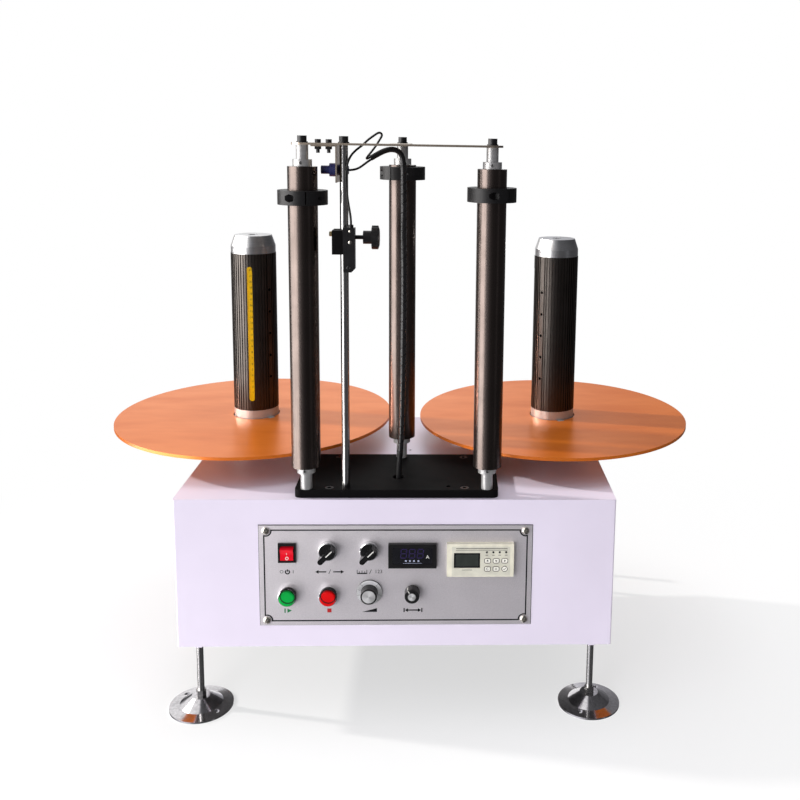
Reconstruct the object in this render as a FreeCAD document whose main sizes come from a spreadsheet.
"""Film rewinder: two upright reels on a sheet metal cabinet, with three guide rollers between them.

Millimetres. +Z is up, X runs from the unwinding reel (left) to the rewinding reel (right), and the
controls face -Y. The origin is on the floor, under the middle of the machine.
"""
import FreeCAD, Part
import math
import os
import Sketcher

Vector = FreeCAD.Vector

SIZES = {
    # cabinet
    "cabinet_width": 650,
    "cabinet_depth": 410,
    "cabinet_height": 230,
    "ground_clearance": 107,
    "sheet": 2,
    "edge_radius": 3,
    "tray_thickness": 3,
    "tray_flange": 15,
    "fit_gap": 0.2,
    "press_gap": 0.02,
    "turn_gap": 0.3,
    "vent_count": 10,
    "vent_length": 60,
    "vent_width": 4,
    "vent_pitch": 12,
    "top_hole_diameter": 5,
    "top_hole_setback": 221,
    "top_hole_side": 11,
    # reels
    "spindle_spacing": 516,
    "spindle_setback": 280,
    "disc_diameter": 464,
    "disc_thickness": 5,
    "disc_gap": 42,
    "disc_bore": 79,
    "left_disc_turn": 48,
    "right_disc_turn": 16,
    "notch_width": 13,
    "notch_depth": 5,
    "key_gap": 0.8,
    "key_root": 2,
    "tube_diameter": 75,
    "tube_bore": 62,
    "left_tube_turn": 0,
    "right_tube_turn": -97,
    "tube_length": 268,
    "flute_count": 48,
    "flute_depth": 1.4,
    "flute_width": 2.5,
    "ring_diameter": 74.6,
    "ring_height": 14,
    "cap_skirt": 12,
    "cap_step": 0.5,
    "cap_cone": 17.5,
    "cap_flat": 62,
    "cap_hole": 16,
    "cap_hole_depth": 9,
    "cap_spigot": 10,
    "ruler_width": 8.6,
    "ruler_margin": 21,
    "ruler_thickness": 1.2,
    "ruler_rise": 17,
    "groove_depth": 2.4,
    "band_width": 8,
    "band_sink": 0.15,
    "pin_hole_diameter": 5,
    "pin_hole_count": 5,
    "pin_hole_pitch": 37.5,
    "pin_hole_rise": 57,
    "pin_row_turn": 53,
    "spindle_hub_diameter": 110,
    "spindle_hub_thickness": 10,
    "hub_plug_height": 40,
    "spindle_shaft": 25,
    "spindle_shaft_length": 96,
    "coupling_diameter": 40,
    "coupling_length": 40,
    "motor_shaft": 14,
    "motor_shaft_length": 16,
    # bearing housings and drives
    "housing_flange": 122,
    "housing_bolt_circle": 108,
    "housing_screw": 6,
    "housing_screw_head": 10,
    "housing_screw_socket": 5,
    "housing_flange_thickness": 9,
    "housing_boss": 82,
    "housing_boss_height": 14,
    "housing_barrel": 96,
    "housing_barrel_length": 108,
    "lantern_bore": 80,
    "lantern_height": 52,
    "lantern_ledge": 8,
    "lantern_window": 46,
    "spindle_bearing": 52,
    "spindle_bearing_width": 15,
    "bearing_shoulder": 44,
    "bearing_recess": 4,
    "motor_diameter": 92,
    "motor_length": 92,
    "motor_flange": 7,
    "gland_diameter": 16,
    "brake_diameter": 118,
    "brake_length": 62,
    # guide rollers
    "roller_spacing": 266,
    "roller_setback": 16,
    "rear_roller_setback": 155,
    "roller_diameter": 42,
    "roller_wall": 3.5,
    "roller_top_gap": 30,
    "target_turn": -30,
    "shaft_diameter": 17,
    "shaft_spigot": 12,
    "tap_gap": 0.1,
    "tapped_depth": 25,
    "roller_bearing_width": 10,
    "bearing_groove": 0.8,
    "collar_diameter": 27,
    "collar_height": 9.5,
    "seat_gap": 0.3,
    "running_gap": 0.03,
    "set_screw": 4.5,
    "target_screw": 6,
    "target_drop": 9,
    "target_height": 1.2,
    # split guide rings
    "ring_outer": 70,
    "ring_thickness": 20,
    "ring_slide_gap": 0.08,
    "ring_slit": 1.6,
    "ring_pocket_start": 16,
    "ring_screw_end": 17,
    "ring_screw_offset": 27.5,
    "ring_screw": 5,
    "ring_nut": 10,
    "left_ring_drop": 53,
    "right_ring_drop": 46,
    "rear_ring_drop": 22.5,
    "left_ring_turn": 15,
    "right_ring_turn": 41,
    "rear_ring_turn": -28,
    # base plate and tie plate
    "plate_width": 300,
    "plate_depth": 158,
    "plate_thickness": 12,
    "plate_setback": 7,
    "plate_corner": 9,
    "plate_bolt_side": 100,
    "plate_bolt_inset": 12,
    "plate_bolt": 8,
    "bolt_head": 13,
    "bolt_head_height": 8,
    "bolt_socket": 6,
    "sink_gap": 0.5,
    "nut_height": 6.5,
    "washer_diameter": 16,
    "washer_thickness": 1.6,
    "spare_thread": 6.8,
    "cable_hole": 18,
    "cable_hole_setback": 62,
    "tie_width": 30,
    "tie_thickness": 3,
    "tie_height": 501,
    "rod_side": 76,
    "rod_setback": 23,
    "rod_diameter": 12,
    # roller sensor
    "bracket_width": 36,
    "bracket_reach": 36,
    "bracket_drop": 52,
    "bracket_sheet": 2,
    "bracket_side": 84.5,
    "bracket_setback": 10,
    "bracket_screw": 5,
    "bracket_screw_head": 8.5,
    "bracket_screw_socket": 4,
    "bracket_screw_tail": 9,
    "bracket_nut": 8,
    "bracket_nut_height": 4,
    "bracket_screw_pitch": 15,
    "bracket_screw_inset": 11.5,
    "sensor_drop": 35,
    "sensor_setback": 36.5,
    "sensor_body": 12,
    "sensor_tip_length": 12,
    "sensor_nut": 15.5,
    "sensor_nut_thickness": 3,
    "sensor_collar": 19,
    "sensor_collar_length": 11,
    "sensor_tail": 14,
    # rod clamp and label sensor
    "holder_width": 30,
    "holder_depth": 30,
    "holder_height": 34,
    "holder_rise": 348,
    "holder_offset": -1,
    "holder_slit": 2,
    "label_sensor_width": 16.8,
    "label_sensor_depth": 12,
    "label_sensor_height": 62.7,
    "label_sensor_lift": 5.2,
    "label_sensor_side": 9.2,
    "label_eye": 7,
    "label_gland_height": 4,
    "label_gland_side": 2.5,
    "label_bevel": 7,
    "knob_stem": 6,
    "knob_stem_reach": 13,
    "knob_hub": 19,
    "knob_hub_length": 12.3,
    "knob_wheel": 34,
    "knob_wheel_length": 10.5,
    "knob_dome": 1.6,
    "knob_scallop": 7,
    "knob_lobes": 7,
    "knob_rise": 23.6,
    # control panel and what it holds
    "panel_width": 402,
    "panel_height": 156,
    "panel_sheet": 2,
    "panel_rise": 113,
    "panel_screw_x": 191,
    "panel_screw_z": 70,
    "panel_screw": 5,
    "panel_screw_head": 10,
    "window_margin": 18,
    "column_rocker": 160,
    "column_left": 100,
    "column_middle": 39.5,
    "column_right": 24,
    "row_rocker": 36.5,
    "row_selector": 40.5,
    "row_button": 31,
    "row_knob": 25.5,
    "rocker_width": 26,
    "rocker_height": 30,
    "rocker_bezel": 3,
    "rocker_body_width": 23,
    "rocker_body_height": 26,
    "rocker_key_width": 19,
    "rocker_key_height": 20.4,
    "rocker_wall": 2,
    "rocker_pin": 4,
    "rocker_pin_reach": 1.2,
    "rocker_pivot": 6,
    "rocker_depth": 26,
    "rocker_rise": 2.4,
    "switch_barrel": 22,
    "switch_ring": 27.5,
    "switch_ring_height": 9,
    "switch_wall": 1.7,
    "switch_stem": 8,
    "switch_depth": 42,
    "switch_block": 30,
    "selector_turn": 225,
    "selector_handle_width": 8,
    "selector_handle_length": 28.4,
    "selector_handle_height": 15,
    "button_travel": 4,
    "button_rise": 3.5,
    "dial_diameter": 38,
    "dial_thickness": 2,
    "knob_diameter": 24.5,
    "knob_height": 17,
    "small_knob_diameter": 23,
    "small_skirt": 20,
    "small_knob_height": 18,
    "knob_cap": 17,
    "small_knob_cap": 11.6,
    "knob_flutes": 20,
    "knob_flute": 1.6,
    "potentiometer_body": 24,
    "potentiometer_depth": 20,
    "potentiometer_bush": 9,
    "potentiometer_shaft": 6,
    "meter_width": 71,
    "meter_height": 37.6,
    "meter_rise": 6,
    "meter_body_inset": 3,
    "meter_depth": 50,
    "meter_row": 32.6,
    "counter_width": 99,
    "counter_height": 50.8,
    "counter_rise": 8,
    "counter_column": 124.2,
    "counter_row": 27,
    "counter_depth": 70,
    "counter_body_inset": 4,
    "counter_screen_left": 39.2,
    "counter_screen_low": 11.8,
    "counter_screen_width": 39,
    "counter_screen_height": 23.5,
    "key_first_x": 10.6,
    "key_first_z": 13,
    "key_pitch": 12.7,
    "key_size": 8.5,
    "key_lift": 0.6,
    "screen_recess": 1,
    "inlet_width": 48,
    "inlet_height": 28,
    "inlet_depth": 30,
    "inlet_flange": 2.5,
    "inlet_socket_depth": 18,
    "inlet_side": 250,
    "inlet_rise": 40,
    "supply_width": 159,
    "supply_depth": 97,
    "supply_height": 42,
    "supply_setback": 250,
    # levelling feet
    "foot_side": 28,
    "foot_inset": 19.5,
    "foot_diameter": 95,
    "foot_rim": 2.6,
    "foot_cone_base": 64,
    "foot_cone_top": 28,
    "foot_shoulder_height": 5.5,
    "foot_socket": 12,
    "foot_socket_floor": 5,
    "foot_hole": 7.5,
    "foot_hole_circle": 72,
    "stem_diameter": 10,
    "stem_hex": 13,
    "stem_hex_height": 9,
    "stem_hex_floor": 18,
    "stem_top": 22,
    "weld_nut": 16,
    "weld_nut_height": 8,
    "thread_gap": 0.15,
    # cables
    "cable_diameter": 3.2,
    "cable_lead": 15,
    "bundle_diameter": 8,
    "bundle_tail": 20,
}

PARTS = "parts"

doc = FreeCAD.newDocument("FilmRewinder")
sheet = doc.addObject("Spreadsheet::Sheet", "Sizes")
for row, (alias, number) in enumerate(SIZES.items(), start=1):
    sheet.set(f"A{row}", alias)
    sheet.set(f"B{row}", str(number))
    sheet.setAlias(f"B{row}", alias)
doc.recompute()


class Size:
    """A number together with the sheet expression that gives it."""

    def __init__(self, value, text):
        self.value = value
        self.text = text

    def __add__(self, other):
        return Size(self.value + number_of(other), f"({self.text} + {text_of(other)})")

    def __sub__(self, other):
        return Size(self.value - number_of(other), f"({self.text} - {text_of(other)})")

    def __mul__(self, other):
        return Size(self.value * number_of(other), f"({self.text} * {text_of(other)})")

    def __truediv__(self, other):
        return Size(self.value / number_of(other), f"({self.text} / {text_of(other)})")

    def __neg__(self):
        return Size(-self.value, f"(0 - {self.text})")

    __radd__ = __add__
    __rmul__ = __mul__

    def __rsub__(self, other):
        return -self + other


def number_of(size):
    return size.value if isinstance(size, Size) else size


def text_of(size):
    return size.text if isinstance(size, Size) else f"{size}"


class Sheet:
    """Reads a size by its alias, as in S.sheet."""

    def __getattr__(self, alias):
        return Size(float(SIZES[alias]), f"Sizes.{alias}")


S = Sheet()
NODES = []


def bind(thing, name, size):
    """Gives one property of an object its size."""
    if isinstance(size, Size):
        thing.setExpression(name, size.text)
    else:
        setattr(thing, name, size)


def place(thing, at, axis=Vector(0, 0, 1), angle=0):
    """Puts an object at a point whose coordinates may be sizes, turned about an axis."""
    base = Vector(*[number_of(c) for c in at])
    thing.Placement = FreeCAD.Placement(base, FreeCAD.Rotation(axis, angle))
    for letter, coordinate in zip("xyz", at):
        if isinstance(coordinate, Size):
            thing.setExpression(f"Placement.Base.{letter}", coordinate.text)
    return thing


def node(thing, name):
    """Marks an object as a finished sub-part."""
    thing.Label = name
    NODES.append(thing)
    return thing


# Part solids

AXES = {
    "+X": (Vector(0, 1, 0), 90),
    "-X": (Vector(0, 1, 0), -90),
    "+Y": (Vector(1, 0, 0), -90),
    "-Y": (Vector(1, 0, 0), 90),
    "+Z": (Vector(0, 0, 1), 0),
    "-Z": (Vector(1, 0, 0), 180),
}


def cylinder(name, diameter, height, at=(0, 0, 0), along="+Z"):
    thing = doc.addObject("Part::Cylinder", name)
    bind(thing, "Radius", diameter / 2)
    bind(thing, "Height", height)
    return place(thing, at, *AXES[along])


def box(name, x0, y0, z0, width, depth, height):
    """A block by its low corner and its sizes."""
    thing = doc.addObject("Part::Box", name)
    bind(thing, "Length", width)
    bind(thing, "Width", depth)
    bind(thing, "Height", height)
    return place(thing, (x0, y0, z0))


def middle_box(name, x, y, z0, width, depth, height):
    """A block by the middle of its foot."""
    return box(name, x - width / 2, y - depth / 2, z0, width, depth, height)


def hexagon(name, across_flats, height, at=(0, 0, 0), along="+Z"):
    thing = doc.addObject("Part::Prism", name)
    thing.Polygon = 6
    bind(thing, "Circumradius", across_flats / 2 / math.cos(math.pi / 6))
    bind(thing, "Height", height)
    return place(thing, at, *AXES[along])


def cut(name, base, *tools):
    tool = tools[0]
    if len(tools) > 1:
        tool = doc.addObject("Part::MultiFuse", name + "_tools")
        tool.Shapes = list(tools)
    thing = doc.addObject("Part::Cut", name)
    thing.Base = base
    thing.Tool = tool
    return thing


def fuse(name, *parts):
    thing = doc.addObject("Part::MultiFuse", name)
    thing.Shapes = list(parts)
    thing.Refine = True
    return thing


def group(name, parts):
    """Several separate solids that share one node."""
    thing = doc.addObject("Part::Compound", name)
    thing.Links = list(parts)
    return thing


def tube(name, outer, inner, height, at=(0, 0, 0), along="+Z"):
    """A ring or pipe about its axis."""
    outside = cylinder(name + "_outside", outer, height)
    inside = cylinder(name + "_inside", inner, height)
    return place(cut(name, outside, inside), at, *AXES[along])


# PartDesign bodies

def new_body(name):
    return doc.addObject("PartDesign::Body", name)


def sketch(body, role, name, height=None):
    """A sketch on one of the body's own origin planes, raised by a height."""
    plane = [feature for feature in body.Origin.OriginFeatures if feature.Role == role][0]
    drawing = body.newObject("Sketcher::SketchObject", name)
    drawing.AttachmentSupport = [(plane, "")]
    drawing.MapMode = "FlatFace"
    if height is not None:
        drawing.AttachmentOffset = FreeCAD.Placement(Vector(0, 0, number_of(height)), FreeCAD.Rotation())
        if isinstance(height, Size):
            drawing.setExpression("AttachmentOffset.Base.z", height.text)
    return drawing


def dimension(drawing, kind, *where):
    """Adds one dimension and ties it to its size, the last value given."""
    size = where[-1]
    index = drawing.addConstraint(Sketcher.Constraint(kind, *where[:-1], number_of(size)))
    if isinstance(size, Size):
        name = f"size{index}"
        drawing.renameConstraint(index, name)
        drawing.setExpression(f"Constraints.{name}", size.text)


def outline(drawing, points):
    """A closed run of straight lines whose corners are all dimensioned from the origin."""
    first = drawing.GeometryCount
    corners = [Vector(number_of(x), number_of(y), 0) for x, y in points]
    count = len(corners)
    for here, there in zip(corners, corners[1:] + corners[:1]):
        drawing.addGeometry(Part.LineSegment(here, there), False)
    for step, (x, y) in enumerate(points):
        line = first + step
        drawing.addConstraint(Sketcher.Constraint("Coincident", first + (step - 1) % count, 2, line, 1))
        dimension(drawing, "DistanceX", -1, 1, line, 1, x)
        dimension(drawing, "DistanceY", -1, 1, line, 1, y)


def rectangle(drawing, x0, y0, x1, y1):
    outline(drawing, [(x0, y0), (x1, y0), (x1, y1), (x0, y1)])


def circle(drawing, x, y, diameter):
    geometry = drawing.GeometryCount
    centre = Vector(number_of(x), number_of(y), 0)
    drawing.addGeometry(Part.Circle(centre, Vector(0, 0, 1), number_of(diameter) / 2), False)
    dimension(drawing, "Diameter", geometry, diameter)
    dimension(drawing, "DistanceX", -1, 1, geometry, 3, x)
    dimension(drawing, "DistanceY", -1, 1, geometry, 3, y)


def pad(body, drawing, name, length):
    feature = body.newObject("PartDesign::Pad", name)
    feature.Profile = drawing
    bind(feature, "Length", length)
    return feature


def pocket(body, drawing, name, depth=None, upward=False):
    """Cuts a sketch into the solid, to a depth or right through."""
    feature = body.newObject("PartDesign::Pocket", name)
    feature.Profile = drawing
    feature.Reversed = upward
    if depth is None:
        feature.Type = "ThroughAll"
    else:
        bind(feature, "Length", depth)
    return feature


def revolve(body, drawing, name="turned"):
    feature = body.newObject("PartDesign::Revolution", name)
    feature.Profile = drawing
    feature.ReferenceAxis = (drawing, ["V_Axis"])
    feature.Angle = 360
    return feature


def turned(name, profile):
    """A turned piece about its own Z axis, from (diameter, height) corners."""
    body = new_body(name)
    drawing = sketch(body, "XZ_Plane", name + "_profile")
    outline(drawing, [(diameter / 2, height) for diameter, height in profile])
    revolve(body, drawing, name + "_turned")
    return body


def polar_pattern(body, feature, name, count):
    """Repeats a feature round the body's Z axis."""
    axis = [item for item in body.Origin.OriginFeatures if item.Role == "Z_Axis"][0]
    pattern = body.newObject("PartDesign::PolarPattern", name)
    pattern.Originals = [feature]
    pattern.Axis = (axis, [""])
    pattern.Angle = 360
    bind(pattern, "Occurrences", count)
    body.Tip = pattern
    return pattern


def upright_edges(shape, corners=None):
    """Names of the straight edges that run along Z."""
    names = []
    for index, edge in enumerate(shape.Edges, start=1):
        ends = edge.Vertexes
        if len(ends) != 2:
            continue
        run = ends[1].Point - ends[0].Point
        if abs(run.x) < 1e-6 and abs(run.y) < 1e-6 and (corners is None or corners(ends[0].Point)):
            names.append(f"Edge{index}")
    return names


def round_uprights(body, name, radius, corners=None):
    """Rounds the upright edges of the body's present solid."""
    doc.recompute()
    before = body.Tip
    feature = body.newObject("PartDesign::Fillet", name)
    feature.Base = (before, upright_edges(before.Shape, corners))
    bind(feature, "Radius", radius)
    body.Tip = feature
    return feature


# Levels and places that several pieces share

foot_reach = S.foot_diameter / 2 - S.foot_inset
machine_depth = foot_reach + S.spindle_setback + S.disc_diameter / 2
front = foot_reach - machine_depth / 2
spindle_y = front + S.spindle_setback
cabinet_bottom = S.ground_clearance
cabinet_top = S.ground_clearance + S.cabinet_height
disc_bottom = cabinet_top + S.disc_gap
disc_top = disc_bottom + S.disc_thickness
tube_bottom = disc_top + S.ring_height
tube_top = tube_bottom + S.tube_length
ruler_length = S.tube_length - S.ruler_rise - S.ruler_margin
plate_top = cabinet_top + S.plate_thickness
roller_bottom = disc_top
tie_bottom = plate_top + S.tie_height
roller_top = tie_bottom - S.roller_top_gap
roller_length = roller_top - roller_bottom
tie_top = tie_bottom + S.tie_thickness
spindle_x = S.spindle_spacing / 2
roller_x = S.roller_spacing / 2
roller_y = front + S.roller_setback
rear_roller_y = front + S.rear_roller_setback
rod_y = front + S.rod_setback
panel_z = cabinet_bottom + S.panel_rise
panel_face = front - S.panel_sheet
housing_top = cabinet_top + S.housing_flange_thickness + S.housing_boss_height
housing_bottom = cabinet_top - S.housing_barrel_length
lower_bearing_z = housing_bottom + S.lantern_height
upper_bearing_z = housing_top - S.bearing_recess - S.spindle_bearing_width
row_top_z = panel_z + S.row_selector
SHAFTS = {
    "left": (-roller_x, roller_y),
    "rear": (0, rear_roller_y),
    "right": (roller_x, roller_y),
}


def foot_places():
    """Name and place of each levelling foot."""
    side = S.cabinet_width / 2 - S.foot_side
    near = front + S.foot_inset
    far = front + S.cabinet_depth - S.foot_inset
    return [
        ("front_left", -side, near),
        ("front_right", side, near),
        ("rear_left", -side, far),
        ("rear_right", side, far),
    ]


def plate_bolt_places():
    """The four bolts that hold the base plate."""
    near = front + S.plate_setback + S.plate_bolt_inset
    far = front + S.plate_setback + S.plate_depth - S.plate_bolt_inset
    side = S.plate_bolt_side
    return [(-side, near), (side, near), (-side, far), (side, far)]


def housing_bolt_places():
    """Six screws round each bearing housing."""
    places = []
    for x in (-spindle_x, spindle_x):
        for step in range(6):
            turn = math.pi * step / 3
            radius = S.housing_bolt_circle / 2
            places.append((x + radius * math.cos(turn), spindle_y + radius * math.sin(turn)))
    return places


def cap_screw(name, shank, length, head, head_height, socket, at, washer=None):
    """Socket head screw that points down, its head resting on the point given."""
    x, y, z = at
    seat = z
    pieces = []
    if washer is not None:
        pieces.append(cylinder(name + "_washer", washer, S.washer_thickness, (x, y, z)))
        seat = z + S.washer_thickness
    pieces.append(cylinder(name + "_head", head, head_height, (x, y, seat)))
    pieces.append(cylinder(name + "_shank", shank, length, (x, y, z - length)))
    socket_depth = head_height / 2
    recess = hexagon(name + "_socket", socket, socket_depth, (x, y, seat + head_height - socket_depth))
    return cut(name, fuse(name + "_solid", *pieces), recess)


# Cabinet

def cabinet_shell():
    """Folded and welded sheet box, open underneath, with the openings cut in its walls."""
    body = new_body("cabinet_shell_body")
    half = S.cabinet_width / 2
    outside = sketch(body, "XY_Plane", "cabinet_outside")
    rectangle(outside, -half, front, half, front + S.cabinet_depth)
    pad(body, outside, "cabinet_block", S.cabinet_height)
    round_uprights(body, "cabinet_corners", S.edge_radius)
    inside = sketch(body, "XY_Plane", "cabinet_inside")
    rectangle(inside, S.sheet - half, front + S.sheet, half - S.sheet, front + S.cabinet_depth - S.sheet)
    pocket(body, inside, "cabinet_hollow", S.cabinet_height - S.sheet, upward=True)
    top = sketch(body, "XY_Plane", "top_openings")
    barrel_hole = S.housing_barrel + 2 * S.fit_gap
    circle(top, -spindle_x, spindle_y, barrel_hole)
    circle(top, spindle_x, spindle_y, barrel_hole)
    circle(top, 0, front + S.cable_hole_setback, S.cable_hole)
    circle(top, S.top_hole_side, front + S.top_hole_setback, S.top_hole_diameter)
    for x, y in plate_bolt_places():
        circle(top, x, y, S.plate_bolt + 2 * S.fit_gap)
    for x, y in housing_bolt_places():
        circle(top, x, y, S.housing_screw + 2 * S.fit_gap)
    pocket(body, top, "top_holes", upward=True)
    window = sketch(body, "XZ_Plane", "panel_window", -front + S.sheet)
    across = S.panel_width / 2 - S.window_margin
    along = S.panel_height / 2 - S.window_margin
    rectangle(window, -across, S.panel_rise - along, across, S.panel_rise + along)
    pocket(body, window, "window_cut", 3 * S.sheet)
    fixings = sketch(body, "XZ_Plane", "panel_fixing_holes", -front + S.sheet)
    for x, z in panel_screw_places():
        circle(fixings, x, z + S.panel_rise, S.panel_screw + 2 * S.fit_gap)
    pocket(body, fixings, "panel_fixing_cut", 3 * S.sheet)
    back_plane = 2 * S.sheet - front - S.cabinet_depth
    back = sketch(body, "XZ_Plane", "back_opening", back_plane)
    left = S.inlet_side - S.inlet_width / 2 - S.fit_gap
    low = S.inlet_rise - S.fit_gap
    rectangle(back, left, low, left + S.inlet_width + 2 * S.fit_gap, low + S.inlet_height + 2 * S.fit_gap)
    pocket(body, back, "inlet_cut", 3 * S.sheet)
    vent = sketch(body, "XZ_Plane", "first_vent", back_plane)
    first = S.vent_pitch * (1 - S.vent_count) / 2
    middle = S.cabinet_height / 2
    rectangle(vent, first - S.vent_width / 2, middle - S.vent_length / 2,
              first + S.vent_width / 2, middle + S.vent_length / 2)
    slot = pocket(body, vent, "vent_cut", 3 * S.sheet)
    row = body.newObject("PartDesign::LinearPattern", "vents")
    row.Originals = [slot]
    row.Direction = (vent, ["H_Axis"])
    bind(row, "Length", S.vent_pitch * (S.vent_count - 1))
    bind(row, "Occurrences", S.vent_count)
    body.Tip = row
    node(place(body, (0, 0, cabinet_bottom)), "cabinet_shell")


def bottom_tray():
    """Folded tray that closes the cabinet, with a welded nut over each levelling foot."""
    width = S.cabinet_width - 2 * (S.sheet + S.fit_gap)
    depth = S.cabinet_depth - 2 * (S.sheet + S.fit_gap)
    y = front + S.cabinet_depth / 2
    outside = middle_box("tray_block", 0, y, cabinet_bottom, width, depth, S.tray_flange)
    inside = middle_box("tray_hollow", 0, y, cabinet_bottom + S.tray_thickness,
                        width - 2 * S.sheet, depth - 2 * S.sheet, S.tray_flange)
    tray = cut("tray_sheet", outside, inside)
    nuts = []
    holes = []
    for name, x, foot_y in foot_places():
        nuts.append(hexagon("nut_" + name, S.weld_nut, S.weld_nut_height + S.tray_thickness,
                            (x, foot_y, cabinet_bottom - S.weld_nut_height)))
        holes.append(cylinder("thread_" + name, S.stem_diameter + 2 * S.thread_gap, S.stem_top * 3,
                              (x, foot_y, cabinet_bottom - S.stem_top)))
    node(cut("bottom_tray_cut", fuse("tray_and_nuts", tray, *nuts), *holes), "bottom_tray")


def levelling_feet():
    """Swivel feet: a pressed dish with a socket, and a threaded stem with a hexagon."""
    for name, x, y in foot_places():
        lip = S.stem_hex_floor - S.seat_gap
        pad_body = turned(name + "_dish", [
            (0, 0),
            (S.foot_diameter, 0),
            (S.foot_diameter, S.foot_rim),
            (S.foot_cone_base, S.foot_shoulder_height),
            (S.foot_cone_top, lip),
            (S.foot_socket, lip),
            (S.foot_socket, S.foot_socket_floor),
            (0, S.foot_socket_floor),
        ])
        holes = sketch(pad_body, "XY_Plane", name + "_dish_holes")
        reach = S.foot_hole_circle / 2
        turn = math.radians(-38 if x.value < 0 else 62)
        circle(holes, reach * math.cos(turn), reach * math.sin(turn), S.foot_hole)
        circle(holes, -reach * math.cos(turn), -reach * math.sin(turn), S.foot_hole)
        pocket(pad_body, holes, name + "_dish_hole_cut", upward=True)
        node(place(pad_body, (x, y, 0)), "foot_pad_" + name)
        stem = turned(name + "_stem", [
            (0, S.foot_socket_floor + S.seat_gap),
            (S.foot_socket - 2 * S.running_gap, S.foot_socket_floor + S.seat_gap),
            (S.foot_socket - 2 * S.running_gap, S.stem_hex_floor + S.stem_hex_height / 2),
            (S.stem_diameter, S.stem_hex_floor + S.stem_hex_height / 2),
            (S.stem_diameter, cabinet_bottom + S.stem_top),
            (0, cabinet_bottom + S.stem_top),
        ])
        flats = hexagon(name + "_hex", S.stem_hex, S.stem_hex_height, (0, 0, S.stem_hex_floor))
        node(place(fuse(name + "_stem_solid", stem, flats), (x, y, 0)), "foot_stem_" + name)


# Reels

def reel(side, x, tube_turn, disc_turn):
    """One reel: disc, polished ring, fluted core tube, cap and the shaft that carries them."""
    disc = new_body(side + "_disc_body")
    drawing = sketch(disc, "XY_Plane", side + "_disc_outline")
    circle(drawing, 0, 0, S.disc_diameter)
    circle(drawing, 0, 0, S.disc_bore)
    pad(disc, drawing, side + "_disc_pad", S.disc_thickness)
    notch = sketch(disc, "XY_Plane", side + "_disc_notch")
    reach = S.disc_bore / 2 + S.notch_depth
    rectangle(notch, -S.notch_width / 2, -reach, S.notch_width / 2, -S.disc_bore / 4)
    pocket(disc, notch, side + "_notch_cut", upward=True)
    node(place(disc, (x, spindle_y, disc_bottom), Vector(0, 0, 1), disc_turn), side + "_disc")

    ring = tube(side + "_ring_tube", S.ring_diameter, S.tube_bore, S.ring_height + S.disc_thickness)
    node(place(ring, (x, spindle_y, disc_bottom)), side + "_spindle_ring")

    node(place(core_tube(side), (x, spindle_y, tube_bottom), Vector(0, 0, 1), tube_turn),
         side + "_core_tube")

    flat = S.cap_skirt + S.cap_cone
    plug = S.tube_bore - 2 * S.running_gap
    cap_diameter = S.tube_diameter - 2 * S.cap_step
    cap = turned(side + "_cap", [
        (0, -S.cap_spigot),
        (plug, -S.cap_spigot),
        (plug, 0),
        (cap_diameter, 0),
        (cap_diameter, S.cap_skirt),
        (S.cap_flat, flat),
        (S.cap_hole, flat),
        (S.cap_hole, flat - S.cap_hole_depth),
        (0, flat - S.cap_hole_depth),
    ])
    node(place(cap, (x, spindle_y, tube_top)), side + "_spindle_cap")

    hub = -S.spindle_hub_thickness
    shaft_end = hub - S.spindle_shaft_length
    coupling_end = shaft_end - S.coupling_length
    stub_end = coupling_end - S.motor_shaft_length
    shaft = turned(side + "_shaft", [
        (0, S.hub_plug_height),
        (plug, S.hub_plug_height),
        (plug, 0),
        (S.spindle_hub_diameter, 0),
        (S.spindle_hub_diameter, hub),
        (S.spindle_shaft, hub),
        (S.spindle_shaft, shaft_end),
        (S.coupling_diameter, shaft_end),
        (S.coupling_diameter, coupling_end),
        (S.motor_shaft, coupling_end),
        (S.motor_shaft, stub_end),
        (0, stub_end),
    ])
    key_reach = S.disc_bore / 2 + S.notch_depth - S.fit_gap
    key_width = S.notch_width - 2 * S.key_gap
    key_start = S.ring_diameter / 2 + S.fit_gap
    key = box(side + "_key", -key_width / 2, -key_reach, -S.key_root, key_width,
              key_reach - key_start, S.disc_thickness + S.key_root)
    shaft_and_key = fuse(side + "_shaft_and_key", shaft, key)
    node(place(shaft_and_key, (x, spindle_y, disc_bottom), Vector(0, 0, 1), disc_turn),
         side + "_spindle_shaft")


def lozenge(name, width, length, thickness, low, depth):
    """An upright bar with round ends, from the face at -depth back by its thickness."""
    shaft_part = box(name + "_bar", -width / 2, -depth, low + width / 2, width, thickness, length - width)
    lower = cylinder(name + "_lower_end", width, thickness, (0, -depth, low + width / 2), "+Y")
    upper = cylinder(name + "_upper_end", width, thickness, (0, -depth, low + length - width / 2), "+Y")
    return fuse(name, shaft_part, lower, upper)


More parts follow.
